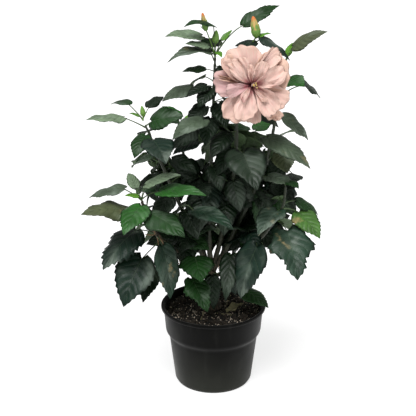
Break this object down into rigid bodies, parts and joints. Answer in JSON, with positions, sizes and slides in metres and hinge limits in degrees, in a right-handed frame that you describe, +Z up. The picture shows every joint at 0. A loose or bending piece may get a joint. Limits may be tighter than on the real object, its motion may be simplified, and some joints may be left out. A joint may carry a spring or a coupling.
{
  "type": "potted hibiscus shrub",
  "caption": "Hibiscus shrub in a black nursery pot: short trunk, slender boughs, open masses of toothed oval leaves and a large double bloom.",
  "frame": {"origin": "centre of the pot's flat underside, on the surface that it stands on", "axes": "+Z up along the pot's axis, -Y towards the side that the bloom faces, +X to the right of someone looking at the bloom"},
  "size_m": [0.4114, 0.2874, 0.6769],
  "materials": {
    "pot_plastic": "moulded black nursery-pot plastic with a soft sheen and fine scuffs",
    "potting_soil": "dark crumbled bark and peat, matt, with paler flecks",
    "bark": "grey-brown bark, finely ridged, matt",
    "green_bark": "olive to brown young bark with pale pores",
    "petal": "pale peach-pink ruffled petals, satin, deeper rose in the folds",
    "foliage": "glossy dark green leaf with pale veins and a sage underside"
  },
  "bodies": {
    "root": {"pot": "pot_plastic", "soil": "potting_soil", "trunk": "bark", "bough_left": "bark", "bough_upper_left": "green_bark", "bough_centre": "green_bark", "bough_bloom": "green_bark", "bough_right": "green_bark", "bough_low_right": "green_bark", "bough_back_left": "green_bark", "bough_back_right": "green_bark", "bloom": "petal", "mass_over_rim": "foliage", "mass_left_serrated": "foliage", "mass_left_hanging": "foliage", "mass_left_low": "foliage", "mass_left_brown": "foliage", "mass_left_pale": "foliage", "mass_left_grey": "foliage", "mass_left_bright": "foliage", "mass_left_rising": "foliage", "mass_left_inward": "foliage", "mass_left_veined": "foliage", "mass_front_left": "foliage", "mass_front_bright": "foliage", "mass_front_long": "foliage", "mass_shoulder_round": "foliage", "mass_shoulder_pale": "foliage", "mass_shoulder_tip": "foliage", "mass_shoulder_inner": "foliage", "mass_shoulder_blue": "foliage", "mass_top_left": "foliage", "mass_top_long": "foliage", "mass_top_curled": "foliage", "mass_top_right": "foliage", "mass_centre_grey": "foliage", "mass_centre_blue": "foliage", "mass_behind_bloom": "foliage", "mass_under_bloom": "foliage", "mass_right_top": "foliage", "mass_right_beside": "foliage", "mass_right_outer": "foliage", "mass_right_narrow": "foliage", "mass_right_long": "foliage", "mass_right_round": "foliage", "mass_right_inner": "foliage", "mass_low_right_mid": "foliage", "mass_low_right_outer": "foliage", "mass_low_right_lobed": "foliage", "mass_front_right": "foliage", "mass_front_narrow": "foliage", "mass_inner_left": "foliage", "mass_inner_right": "foliage", "mass_inner_centre": "foliage", "mass_inner_high": "foliage", "mass_back_low_left": "foliage", "mass_back_low_right": "foliage", "mass_back_left": "foliage", "mass_back_right": "foliage", "mass_back_high": "foliage"}
  },
  "joints": []
}
